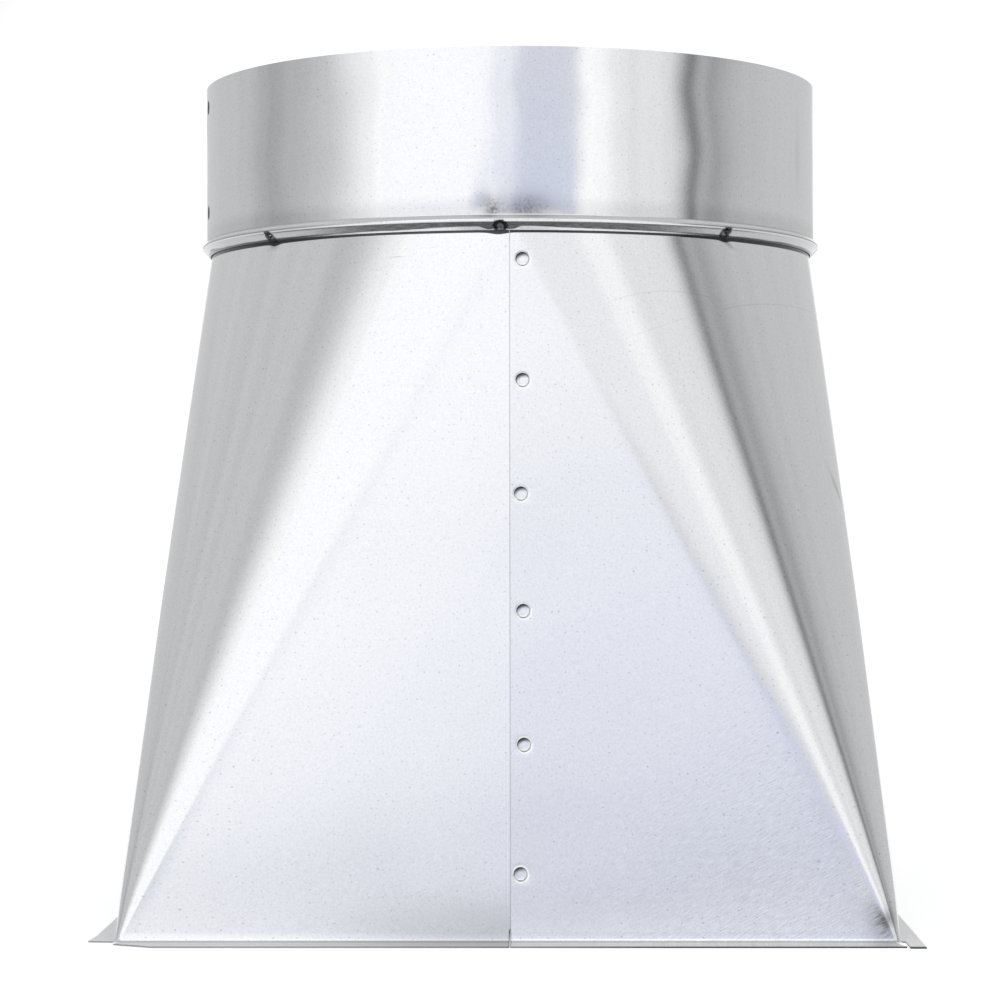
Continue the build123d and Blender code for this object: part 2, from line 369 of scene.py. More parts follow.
def add_flange(blank, side, start_ids, start_alongs, plate, tab):
    """The bend and the plate of one flange, hung on a row of points at the wall's foot."""
    (near_start, near_end), far = plate
    fold = core(sheet)
    near_start, near_end = max(near_start * MM, -fold), min(near_end * MM, fold)
    far = [(along * MM, out * MM) for along, out in far]
    first, last = start_alongs[0], start_alongs[-1]
    shares = [(along - first) / (last - first) for along in start_alongs]
    far_spots = [far[0][0] + share * (far[-1][0] - far[0][0]) for share in shares]
    for corner in far[1:-1]:
        nearest = min(range(len(far_spots)), key=lambda index: abs(far_spots[index] - corner[0]))
        far_spots[nearest] = corner[0]
    far_outs = np.interp(far_spots, [along for along, _ in far], [out for _, out in far])
    near_spots = [near_start + share * (near_end - near_start) for share in shares]
    tilt = math.atan(wall_slope)
    centre = (flange_bend * (1 / math.cos(tilt) - wall_slope), sheet + flange_bend)
    rows = [start_ids]
    for step in range(bend_steps + 1):
        angle = tilt + (math.pi / 2 - tilt) * step / bend_steps
        front = (centre[0] - flange_bend * math.cos(angle), centre[1] - flange_bend * math.sin(angle))
        rear = flange_bend + sheet
        back = (centre[0] - rear * math.cos(angle), centre[1] - rear * math.sin(angle))
        share = (bend_top - max(front[1], sheet)) / (bend_top - sheet)
        alongs = [start + (near - start) * share for start, near in zip(start_alongs, near_spots)]
        rows.append([flange_point(blank, side, along, front, back) for along in alongs])
    for share in plate_shares:
        row = []
        for near, spot, out in zip(near_spots, far_spots, far_outs):
            along = near + (spot - near) * share
            reach = bend_reach + (out - bend_reach) * share
            row.append(flange_point(blank, side, along, (reach, sheet), (reach, 0.0)))
        rows.append(row)
    blank.fill(list(reversed(rows)))
    if tab:
        tab_rows = []
        for row, share in zip(rows[-len(plate_shares):], plate_shares):
            reach = bend_reach + (far_outs[0] - bend_reach) * share
            ends = [
                flange_point(blank, side, along * MM, (reach, sheet), (reach, 0.0))
                for along in reversed(tab)]
            tab_rows.append(ends + [row[0]])
        blank.fill(list(reversed(tab_rows)))


def body_blank(plates, tab, turned):
    """The blank of one half, with its front strip, its wall, its tongue and its flanges."""
    blank = Blank()

    def wall_point(place, front_depth, back_depth):
        """A point of the wall from the depths of its front and its back."""
        return blank.point((*place, front_depth, 0), (*place, back_depth, 0))

    grid = []
    for height in wall_rows:
        lapped_back = tongue_back if height <= lap_top else sheet
        row = [wall_point(front_place(step, height), 0, sheet) for step in strip_steps]
        row += [wall_point(place, 0, sheet) for place in wall_places(height)[1:]]
        row += [wall_point(back_place(step, height), 0, sheet) for step in back_steps]
        row += [wall_point(back_place(step, height), 0, lapped_back) for step in parting_steps]
        grid.append(row)
    blank.wall(grid, window_starts)

    tongue_steps = [seam_back_edge, *strip_steps, tongue_end]
    tongue = []
    for height in wall_rows[:lap_rows]:
        tongue.append([
            wall_point(back_place(step, height), tongue_front, tongue_back) for step in tongue_steps])
    blank.lap(grid, tongue, 0, window_starts)

    for start, across, height in zip(window_starts, clinch_across, clinch_rows):
        centre = (across * MM, height * MM)
        blank.punch(grid, (start, 0), centre, front_place, pit_front, pit_back, pit_shade, even_shade)
        blank.punch(tongue, (start, 1), centre, back_place, cup_front, cup_back, pit_shade, even_shade)

    upper = [grid[-1]]
    top_places = [front_place(step, body_height) for step in strip_steps]
    top_places += wall_places(body_height)[1:]
    top_places += [back_place(step, body_height) for step in back_steps + parting_steps]
    for front, back in zip(neck_front, neck_back):
        row = []
        for place in top_places:
            row.append(blank.point(
                (*place[:3], front[1] * MM, 0, front[0] * MM),
                (*place[:3], back[1] * MM, 0, back[0] * MM)))
        upper.append(row)
    azimuths = [math.degrees(place[2]) + 90 + (180 if turned else 0) for place in top_places]
    for level, (low, high) in enumerate(zip(upper, upper[1:])):
        for index in range(len(low) - 1):
            middle = (azimuths[index] + azimuths[index + 1]) / 2
            gaps = [abs((middle - azimuth + 180) % 360 - 180) for azimuth in crimp_azimuths]
            if level < whole_rows or min(gaps) > crimp_gap:
                blank.fill([low[index:index + 2], high[index:index + 2]])

    first = grid[0]
    foot = wall_places(bend_top)
    flat = core(bend_top)
    front_count = window_cells + front_cells + 1
    front_alongs = strip_steps + [place[0] * flat for place in foot[1:front_cells + 1]]
    side_alongs = [(-1.0 + 2.0 * index / side_cells) * flat for index in range(side_cells + 1)]
    back_alongs = [-place[0] * flat for place in foot[-front_cells - 1:]]
    back_alongs += back_steps + parting_steps
    side_from = front_count + corner_cells - 1
    side_end = side_from + side_cells
    add_flange(blank, front_side, first[:front_count], front_alongs, plates[0], None)
    add_flange(blank, right_side, first[side_from:side_end + 1], side_alongs, plates[1], tab)
    add_flange(blank, back_side, first[side_end + corner_cells:], back_alongs, plates[2], None)
    for start in (front_count - 1, side_end):
        places = foot[start - window_cells:start - window_cells + corner_cells + 1]
        rows = [first[start:start + corner_cells + 1]]
        for level in corner_levels:
            fall = sheet + flange_bend - level
            flare = flange_bend - (flange_bend ** 2 - max(0.0, fall) ** 2) ** 0.5
            row = []
            for index, place in enumerate(places):
                out = flare * abs(2 * index / corner_cells - 1) ** 4
                row.append(blank.point((*place[:3], level, 0, out), (*place[:3], level, sheet, out)))
            rows.append(row)
        blank.fill(list(reversed(rows)))
    return blank


class Wired:
    """A value inside a node tree: a node's output, or a plain number, that takes part in sums."""

    def __init__(self, tree, value):
        self.tree = tree
        self.value = value

    def node(self, kind, settings=None, **links):
        """Adds a node: its settings, then a value or a link for inputs by name, or i and number."""
        made = self.tree.nodes.new(kind)
        for name, value in (settings or {}).items():
            if name == "stops":
                ramp = made.color_ramp
                while len(ramp.elements) < len(value):
                    ramp.elements.new(0.5)
                for element, (place, colour) in zip(ramp.elements, value):
                    element.position = place
                    element.color = (*colour, 1.0)
            else:
                setattr(made, name, value)
        for name, value in links.items():
            key = int(name[1:]) if name[0] == "i" and name[1:].isdigit() else name.replace("_", " ")
            source = value.value if isinstance(value, Wired) else value
            if isinstance(source, bpy.types.NodeSocket):
                self.tree.links.new(source, made.inputs[key])
            else:
                made.inputs[key].default_value = source
        return made

    def math(self, operation, *values):
        """The result of a Math node's operation on values or links."""
        links = {f"i{index}": value for index, value in enumerate(values)}
        return Wired(self.tree, self.node("ShaderNodeMath", {"operation": operation}, **links).outputs[0])

    def __add__(self, other):
        return self.math("ADD", self, other)

    def __radd__(self, other):
        return self.math("ADD", other, self)

    def __sub__(self, other):
        return self.math("SUBTRACT", self, other)

    def __rsub__(self, other):
        return self.math("SUBTRACT", other, self)

    def __mul__(self, other):
        return self.math("MULTIPLY", self, other)

    def __rmul__(self, other):
        return self.math("MULTIPLY", other, self)

    def __truediv__(self, other):
        return self.math("DIVIDE", self, other)

    def __pow__(self, other):
        return self.math("POWER", self, other)

    def __lt__(self, other):
        return self.math("LESS_THAN", self, other)

    def least(self, other):
        return self.math("MINIMUM", self, other)

    def most(self, other):
        return self.math("MAXIMUM", self, other)

    def size(self):
        return self.math("ABSOLUTE", self)

    def hill(self, middle, width):
        """1 at the middle, falling off smoothly to either side over the width."""
        away = (self - middle) / width
        return self.math("EXPONENT", 0.0 - away * away)

    def ease(self, start, end, low=0.0, high=1.0):
        """A smooth step from one value to the other between start and end."""
        made = self.node(
            "ShaderNodeMapRange", {"interpolation_type": "SMOOTHSTEP"},
            Value=self, From_Min=start, From_Max=end, To_Min=low, To_Max=high)
        return Wired(self.tree, made.outputs[0])

    def parts(self):
        """The three parts of a vector or colour."""
        made = self.node("ShaderNodeSeparateXYZ", Vector=self)
        return [Wired(self.tree, socket) for socket in made.outputs]

    def point(self, x, y, z):
        return Wired(self.tree, self.node("ShaderNodeCombineXYZ", X=x, Y=y, Z=z).outputs[0])

    def noise(self, scale, detail=1.0, seed=0.0):
        """Smooth noise about 0, from this place."""
        made = self.node(
            "ShaderNodeTexNoise", {"noise_dimensions": "4D"}, Vector=self, W=seed, Scale=scale, Detail=detail)
        return Wired(self.tree, made.outputs[0]) - 0.5


def forming_tree(name, sizes):
    """An empty Geometry Nodes tree with named sizes, and each of its inputs by name."""
    tree = bpy.data.node_groups.new(name, "GeometryNodeTree")
    tree.interface.new_socket("Geometry", in_out="INPUT", socket_type="NodeSocketGeometry")
    tree.interface.new_socket("Geometry", in_out="OUTPUT", socket_type="NodeSocketGeometry")
    for label in sizes:
        tree.interface.new_socket(label, in_out="INPUT", socket_type="NodeSocketFloat")
    entry = tree.nodes.new("NodeGroupInput")
    return tree, {socket.name: Wired(tree, socket) for socket in entry.outputs if socket.name}


weld_distance = 0.01 * MM
smooth_angle = math.radians(38)


def end_forming(tree, blank_input, x, y, z, finish):
    """Puts each point at its place, joins doubled points, and gives the sheet its finish."""
    moved = x.node("GeometryNodeSetPosition", Geometry=blank_input, Position=x.point(x, y, z))
    joined = x.node(
        "GeometryNodeMergeByDistance", Geometry=Wired(tree, moved.outputs[0]), Distance=weld_distance)
    real = x.node("GeometryNodeRealizeInstances", Geometry=Wired(tree, joined.outputs[0]))
    faced = x.node("GeometryNodeSetMaterial", Geometry=Wired(tree, real.outputs[0]), Material=finish)
    done = tree.nodes.new("NodeGroupOutput")
    tree.links.new(faced.outputs[0], done.inputs[0])


def blank_place(tree):
    """The three parts of a blank's point, in a forming tree."""
    return Wired(tree, tree.nodes.new("GeometryNodeInputPosition").outputs[0]).parts()


def formed(name, blank, tree, sizes):
    """The blank after it has been through the forming tree, as a plain smooth mesh."""
    raw = bpy.data.objects.new(name, blank.mesh(name + "_blank"))
    bpy.context.scene.collection.objects.link(raw)
    press = raw.modifiers.new("press", "NODES")
    press.node_group = tree
    for socket in tree.interface.items_tree:
        if socket.in_out == "INPUT" and socket.name in sizes:
            press[socket.identifier] = float(sizes[socket.name])
    evaluated = raw.evaluated_get(bpy.context.evaluated_depsgraph_get())
    mesh = bpy.data.meshes.new_from_object(evaluated)
    raw.modifiers.remove(press)
    blank_mesh = raw.data
    raw.data = mesh
    bpy.data.meshes.remove(blank_mesh)
    mesh.name = name
    for label in ("height", "depth", "reach", "skin"):
        if label in mesh.attributes:
            mesh.attributes.remove(mesh.attributes[label])
    mesh.shade_smooth()
    mesh.set_sharp_from_angle(angle=smooth_angle)
    return raw


def attribute(tree, label):
    """A named value of the blank's points, in a forming tree."""
    found = Wired(tree, None).node("GeometryNodeInputNamedAttribute", {"data_type": "FLOAT"}, Name=label)
    return Wired(tree, found.outputs["Attribute"])


# Flecks lie on the sheet as if it were unrolled from a cylinder, this many to the metre
zinc_colour = (0.8, 0.808, 0.822)
unroll_radius = 0.14
fleck_scale = 400.0


def feed(shader, name, value):
    """Links a value to a socket of the shader, or sets it there where it is the same all over."""
    if isinstance(value, Wired):
        value.tree.links.new(value.value, shader.inputs[name])
    else:
        shader.inputs[name].default_value = value


def zinc(name, seed, marks_and_shading):
    """Galvanised sheet: a bright, finely grained coat with small dark flecks, and a piece's own
    markings and painted shading: how light it is, how its surface leans, its relief, and where it is dull.
    Turn and reach are the angle round from the front and the distance from the axis.
    """
    made = bpy.data.materials.new(name)
    made.use_nodes = True
    tree = made.node_tree
    wire = Wired(tree, None)
    spot = Wired(tree, wire.node("ShaderNodeTexCoord").outputs["Object"])
    x, y, z = spot.parts()
    turn = x.math("ARCTAN2", x, 0.0 - y)
    reach = (x * x + y * y) ** 0.5
    grain = spot.noise(1100.0, 3.0, seed)
    cloud = spot.noise(38.0, 3.0, seed + 3.0)
    wave = spot.noise(10.0, 1.0, seed + 7.0)
    unrolled = spot.point(unroll_radius * turn, z, 0.0)
    flecks = wire.node(
        "ShaderNodeTexVoronoi", {"voronoi_dimensions": "2D"}, Vector=unrolled, Scale=fleck_scale)
    fleck_kind, fleck_dark, _ = Wired(tree, flecks.outputs["Color"]).parts()
    fleck_edge = Wired(tree, flecks.outputs["Distance"])
    fleck_size = 0.08 + 0.08 * fleck_kind + 0.04 * fleck_kind ** 9.0
    fleck = fleck_edge.ease(0.4 * fleck_size, fleck_size, 1.0, 0.0) * (0.2 + 0.8 * fleck_dark ** 3.0)
    tone, slack, relief, dull = marks_and_shading(spot, x, y, z, turn, reach, grain)
    grime = Wired(tree, wire.node("ShaderNodeAttribute", {"attribute_name": "grime"}).outputs["Fac"])
    cut = Wired(tree, wire.node("ShaderNodeAttribute", {"attribute_name": "cut"}).outputs["Fac"])
    tone = tone * (1.0 - 0.3 * fleck) * (1.0 - 0.62 * cut) * (1.0 + 0.22 * grain + 0.03 * cloud)
    # Painted shade in the clinch pits, carried by the points' grime value
    tone = tone * (1.0 - 0.9 * grime.least(1.0))
    red, green, blue = (share * tone for share in zinc_colour)
    colour = wire.node("ShaderNodeCombineColor", Red=red, Green=green, Blue=blue)
    height = relief + 0.000006 * grain + 0.0007 * wave
    facing = wire.node("ShaderNodeNewGeometry").outputs["Normal"]
    slacked = wire.node("ShaderNodeVectorMath", {"operation": "ADD"}, i0=Wired(tree, facing), i1=slack)
    bump = wire.node(
        "ShaderNodeBump", Height=height, Distance=1.0, Strength=1.0, Normal=Wired(tree, slacked.outputs[0]))
    shader = tree.nodes["Principled BSDF"]
    feed(shader, "Base Color", Wired(tree, colour.outputs[0]))
    feed(shader, "Metallic", 1.0 - 0.85 * dull)
    feed(shader, "Roughness", 0.13 + 0.03 * grain + 0.04 * cloud + 0.3 * cut + 0.4 * dull)
    feed(shader, "Normal", Wired(tree, bump.outputs[0]))
    return made


def scratch(x, z, centre, radius, span, deep):
    """A fine arc scratch in the x-z plane: on top of its circle, between the ends of its span."""
    away = (((x - centre[0]) ** 2.0 + (z - centre[1]) ** 2.0) ** 0.5 - radius).size()
    fade = 6.0 * MM
    inside = x.ease(span[0], span[0] + fade) * x.ease(span[1] - fade, span[1], 1.0, 0.0)
    line = away.ease(0.10 * MM, 0.35 * MM, 1.0, 0.0)
    return deep * inside * line * z.ease(centre[1], centre[1] + 1.0 * MM)


# (centre, radius, span, depth of tone) of the fine scratches on the front
front_scratches = [
    ((0.063, 0.1786), 0.0648, (0.036, 0.083), 0.08),
    ((0.109, 0.142), 0.0988, (0.080, 0.130), 0.1),
    ((0.6, -1.27), 1.5945, (0.046, 0.072), 0.06),
    ((-0.0405, 0.2415), 0.0150, (-0.046, -0.036), 0.25),
]

# How far the edge of the flat front moves in for each metre up, and how far out it starts
corner_lean = 0.5426
corner_foot = 0.1455


def body_marks_and_shading(spot, x, y, z, turn, reach, grain):
    """Painted shade under the bead, below its crimps, along the seam and at the foot of the left sheet,
    brushing and a scuffed patch with painted reflections at the lower right, and a few scratches.
    """
    front = y.ease(-0.02, -0.03)

    # Painted shade in the gap under the bead, thicker at the crimps and the sides, and painted shade in the
    # creasing below the crimps
    shade_swell = turn.hill(-0.022, 0.028) + turn.hill(-0.81, 0.024) + turn.hill(0.74, 0.02)
    crease_shade = 0.45 * turn.hill(-0.815, 0.022) * z.ease(0.2612, 0.2648) * (1.0 + 2.0 * grain)
    crease_shade = crease_shade + 0.5 * (turn + 8.0 * (z - 0.265)).hill(0.74, 0.013) * z.ease(0.2602, 0.2648)
    drop = 0.0007 * shade_swell + 0.0005 * turn.size().ease(0.5, 0.9)
    crevice_shade = (z + drop).ease(0.2649, 0.2651) * reach.ease(0.1247, 0.1249)

    # Brushing that rises to the right, with light and dark ripples at the lower right that are partly bump
    # and partly painted reflection, and at the lower right corner of the front a scuffed patch with a painted
    # dark reflection and a darker spot at its core
    along = 0.88 * x + 0.47 * z
    across = 0.88 * z - 0.47 * x
    brush = spot.point(along * 230.0, across * 2100.0, 0.0).noise(1.0, 0.0, 2.0)
    flat = (x.size() + corner_lean * z).ease(0.150, 0.136) * front
    fold = (x + corner_lean * z).ease(corner_foot, corner_foot - 0.002)
    corner = (x - 0.4 * z).ease(-0.02, 0.1) * z.ease(0.15, 0.05) * front * fold
    scuff_and_reflection = x.hill(0.1405, 0.0065) * z.hill(0.0105, 0.0095) * front * fold
    dark_core = x.hill(0.1405, 0.0028) * z.hill(0.0088, 0.0036) * front

    # Scratches, and a dark rub high on the right corner
    lines = 0.42 * (x + 0.396 * z).hill(0.1956, 0.0006) * z.hill(0.169, 0.006)
    for arc in front_scratches:
        lines = lines + scratch(x, z, *arc)

    # Painted shade along the seam's step at the right sheet's edge and in the slit between the flanges, and
    # the front flange's dark cut edge
    edge_side = x * y.ease(-0.001, 0.001, 1.0, -1.0)
    seam_shade = edge_side.ease(0.0012, 0.00135) * edge_side.ease(0.00155, 0.0017, 1.0, 0.0)
    slit_shade = edge_side.ease(0.0006, 0.0010) * edge_side.ease(0.0016, 0.0018, 1.0, 0.0) * z.ease(0.006, 0.004)
    shorn = x.ease(-0.03, 0.07) * y.ease(-0.1560, -0.1563)

    # Dull flanges, and painted shade at the foot of the left sheet
    ledge = z.ease(0.00063, 0.00058)
    left_sheet = x.ease(0.00145, 0.0016, 1.0, 0.0)
    foot_shade = 0.26 * z.ease(0.026, 0.0) * x.ease(-0.1, -0.005) * left_sheet * front

    tone = (1.0 - 0.92 * crevice_shade) * (1.0 - crease_shade) * (1.0 - lines * front)
    tone = tone * (1.0 - 0.28 * seam_shade) * (1.0 - 0.85 * slit_shade) * (1.0 - 0.8 * shorn)
    tone = tone * (1.0 - 0.62 * scuff_and_reflection * (1.0 + 2.5 * brush)) * (1.0 - 0.55 * dark_core)
    tone = tone * (1.0 + 0.32 * brush * corner) * (1.0 - foot_shade)
    tone = tone * (1.0 - 0.06 * ledge * x.size().ease(0.1475, 0.1465))
    slack = spot.point(flat * (-0.022 - 0.02 * left_sheet), 0.0, 0.0)
    relief = brush * (0.000003 * corner + 0.00002 * scuff_and_reflection)
    return tone, slack, relief, ledge


body_finish = zinc("zinc_body", 1.0, body_marks_and_shading)

# Taper: each point of a blank goes to its place on the form, and down from it by its depth,
# square to the leaning wall, or out by its reach
body_sizes = {
    "Foot core": foot_core,
    "Foot bend": foot_bend,
    "Neck radius": neck_radius,
    "Body height": body_height,
}
taper, taper_inputs = forming_tree("square_to_round", [*body_sizes, "Side bow", "Half turn"])
height = attribute(taper, "height")
rise = (height / taper_inputs["Body height"]).least(1.0)
on_wall = rise < 0.99999
along, across, turn = blank_place(taper)
cosine = turn.math("COSINE", turn)
sine = turn.math("SINE", turn)
flat = (1.0 - rise) * taper_inputs["Foot core"]
rolled = (1.0 - rise) * taper_inputs["Foot bend"] + rise * taper_inputs["Neck radius"]
inward = taper_inputs["Foot core"] * (along * cosine + across * sine)
narrowing = inward - taper_inputs["Neck radius"] + taper_inputs["Foot bend"]
lean = on_wall * narrowing / taper_inputs["Body height"]
through = (1.0 + lean * lean) ** 0.5
bowed = rise.math("SINE", rise ** 0.55 * math.pi) * cosine * taper_inputs["Side bow"]
bowed = bowed * rise.ease(0.004, 0.06)
stand = rolled + attribute(taper, "reach") - attribute(taper, "depth") * through + bowed
x_own = flat * along + stand * cosine
y_own = flat * across + stand * sine
side = 1.0 - 2.0 * taper_inputs["Half turn"]
end_forming(taper, taper_inputs["Geometry"], x_own * side, y_own * side, height, body_finish)

for name, plates, tab, half_turn, side_bow in (
    ("body_right_sheet", right_plates, right_tab, 0, 1.0 * MM),
    ("body_left_sheet", left_plates, None, 1, 0.6 * MM),
):
    sizes = {**body_sizes, "Side bow": side_bow, "Half turn": half_turn}
    half = formed(name, body_blank(plates, tab, half_turn), taper, sizes)
    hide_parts("body_left" if half_turn else "body_right")
    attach(half, "root")

# Collar: the same sheet rolled into a ring, lapped and clinched at its left, with a bead near
# its foot that closes over the turned-out edge of the body and is crimped to it.

collar_radius = 127.0 * MM
collar_seam = math.radians(-79.1)
collar_top = 335.2 * MM
collar_clinches = [283.2 * MM, 326.5 * MM]
collar_clinch_along = 4.6 * MM
# Painted shade round the collar's clinches, the same all round
collar_clinch_shade = [0.0, 0.85, 1.0, 1.0, 1.0, 1.0, 0.8, 0.1, 0.0]
rim_rows = [333.0 * MM, 334.6 * MM, collar_top]
crimp_height = 267.34 * MM

# Bead: from its lip a leg rises outwards at 45 degrees to the crest, and a second one falls
# back to the wall; (radius, height) in mm
lip = (125.54, 265.94)
crest_reach = 128.76
crest_bend = 0.8
root_bend = 0.6
bead_sheet = sheet / MM
bead_wall = collar_radius / MM
leg_steps = 14
crest_steps = 8
root_steps = 6


def bead_lines():
    """The bead's outside and inside lines with rounded bends, as (radius, height) pairs."""
    outside, inside = [], []

    def arc(centre, outside_radius, inside_radius, angle):
        """A point of a bend on both lines."""
        cosine, sine = math.cos(angle), math.sin(angle)
        outside.append((centre[0] + outside_radius * cosine, centre[1] + outside_radius * sine))
        inside.append((centre[0] + inside_radius * cosine, centre[1] + inside_radius * sine))

    root = math.sqrt(2)
    tangent = root_bend * math.tan(math.radians(22.5))
    crest = (crest_reach - crest_bend, lip[1] + crest_reach - crest_bend * (1 - root) - lip[0])
    leg = crest[0] + crest_bend / root - lip[0]
    for index in range(leg_steps + 1):
        step = leg * index / leg_steps
        outside.append((lip[0] + step, lip[1] + step))
        inside.append((lip[0] + step - bead_sheet / root, lip[1] + step + bead_sheet / root))
    for index in range(1, crest_steps + 1):
        arc(crest, crest_bend, crest_bend - bead_sheet, math.radians(-45 + 90 * index / crest_steps))
    foot = crest[1] + crest[0] + crest_bend * root - bead_wall + tangent
    for index in range(root_steps + 1):
        angle = math.radians(225 - 45 * index / root_steps)
        arc((bead_wall + root_bend, foot), root_bend, root_bend + bead_sheet, angle)
    return outside, inside


# Rows of the ring: the radius and height of its outside, then of its inside
ring_rows = [
    (out_r * MM, out_z * MM, in_r * MM, in_z * MM)
    for (out_r, out_z), (in_r, in_z) in zip(*bead_lines())]
tongue_low = len(ring_rows) - 1
wall_levels, wall_starts = clinched_rows(ring_rows[-1][1], collar_clinches, 1)
ring_windows = [len(ring_rows) + start for start in wall_starts]
for level in wall_levels + rim_rows:
    ring_rows.append((collar_radius, level, collar_radius - sheet, level))


def turn_of(along):
    """How far round the collar a distance along its wall is."""
    return along / collar_radius


# Columns round the ring, from the seam's edge to where the sheet steps down to its tongue. They
# are closer together at each crimp: (how near, how far apart).
crimp_columns = [(turn_of(2.7 * MM), turn_of(0.26 * MM)), (turn_of(5.0 * MM), turn_of(0.55 * MM))]
plain_column = math.radians(1.05)
longest_end = math.radians(0.6)
shortest_end = math.radians(0.5)
window_edge = 0.22 * MM
step_width = 1.3 * MM
step_gap = 0.2 * MM
collar_tongue_end = 10.5 * MM
last_turn = collar_seam + 2 * math.pi - turn_of(step_gap)
crimp_turns = [math.radians(azimuth) for azimuth in crimp_azimuths]
ring_turns = [
    collar_seam + (window_edge + 2 * clinch_window * index / window_cells) / collar_radius
    for index in range(window_cells + 1)]
ring_turns[0] = collar_seam
while ring_turns[-1] < last_turn - longest_end:
    gap = min(
        abs((ring_turns[-1] - crimp + math.pi) % (2 * math.pi) - math.pi) for crimp in crimp_turns)
    steps = [step for close, step in crimp_columns if gap < close]
    ring_turns.append(ring_turns[-1] + (steps[0] if steps else plain_column))
while ring_turns[-1] > last_turn - shortest_end:
    ring_turns.pop()
ring_turns.append(last_turn - turn_of(step_width))
tongue_turns = [last_turn] + [turn + 2 * math.pi for turn in ring_turns[:window_cells + 1]]
tongue_turns.append(collar_seam + 2 * math.pi + turn_of(collar_tongue_end))

# The collar's blank: here a point is (turn, radius, nothing, height, depth, reach)
ring = Blank()


def ring_point(turn, out_r, out_z, in_r, in_z):
    """A point of the ring from the radius and height of its outside and its inside."""
    return ring.point((turn, out_r, 0, out_z, 0, 0), (turn, in_r, 0, in_z, 0, 0))


def ring_place(turned):
    """Gives places on the ring by distance along and height, or a turn further, on its tongue."""
    return lambda along, height: (
        collar_seam + turned + along / collar_radius, collar_radius, 0.0, height)


net = []
for row_index, (out_r, out_z, in_r, in_z) in enumerate(ring_rows):
    row = [ring_point(turn, out_r, out_z, in_r, in_z) for turn in ring_turns]
    step_r = collar_radius - tongue_back if row_index >= tongue_low else in_r
    row += [ring_point(turn, out_r, out_z, step_r, in_z) for turn in (ring_turns[-1], last_turn)]
    net.append(row)
ring.wall(net, ring_windows)
tongue_out, tongue_in = collar_radius - tongue_front, collar_radius - tongue_back
tongue = [
    [ring_point(turn, tongue_out, level, tongue_in, level) for turn in tongue_turns]
    for _, level, _, _ in ring_rows[tongue_low:]]
ring.lap(net, tongue, tongue_low, ring_windows)
for start, height in zip(ring_windows, collar_clinches):
    for cells, window, turned, rings in (
        (net, (start, 0), 0.0, (pit_front, pit_back)),
        (tongue, (start - tongue_low, 1), 2 * math.pi, (cup_front, cup_back)),
    ):
        centre = (collar_clinch_along, height)
        ring.punch(cells, window, centre, ring_place(turned), *rings, collar_clinch_shade, 1.0)

# Rolling and crimping: each point goes round to its place, and a crimp presses what lies near
# it in to a small round floor with a steep wall
collar_sizes = {
    "Crimp height": crimp_height,
    "Crimp floor": 126.0 * MM,
    "Crimp mouth": 1.95 * MM,
    "Crimp wall": 0.4 * MM,
}
crimp_slope = 4.4
floor_share = 0.7
roller, roller_inputs = forming_tree("rolled_and_crimped", list(collar_sizes))
turn, radius, _ = blank_place(roller)
height = attribute(roller, "height")
skin = attribute(roller, "skin")
reach = radius - attribute(roller, "depth")
rise = height - roller_inputs["Crimp height"]
floor = roller_inputs["Crimp floor"] - skin * roller_inputs["Crimp wall"]
brim = floor_share * roller_inputs["Crimp mouth"] + skin * roller_inputs["Crimp wall"]
for crimp in crimp_turns:
    centre = crimp if crimp > collar_seam else crimp + 2 * math.pi
    away = (turn - centre) * collar_radius
    distance = (away * away + rise * rise) ** 0.5
    wall = floor + (distance - brim).most(0.0) * crimp_slope
    reach = reach.least(wall)

# Hollows of the wall beside the front crimps: (distance along, width, depth) in mm. They start
# above the bead and die away up the wall.
root_share = height.ease(0.2698, 0.273)
fade = height.math("EXPONENT", (0.2725 - height).least(0.0) / 0.006)
left_crimp, centre_crimp, right_crimp = crimp_turns[:3]
for crimp, hollows in (
    (centre_crimp, ((-6.0, 4.0, 0.7), (14.0, 8.0, 0.55))),
    (left_crimp, ((-6.0, 5.0, 0.2), (7.0, 6.0, 0.2))),
    (right_crimp, ((-7.0, 5.0, 0.15), (6.0, 5.0, 0.2))),
):
    along = (turn - crimp) * (collar_radius / MM)
    for place, width, deep in hollows:
        reach = reach - deep * MM * along.hill(place, width) * root_share * fade
x_ring = reach * turn.math("SINE", turn)
y_ring = 0.0 - reach * turn.math("COSINE", turn)


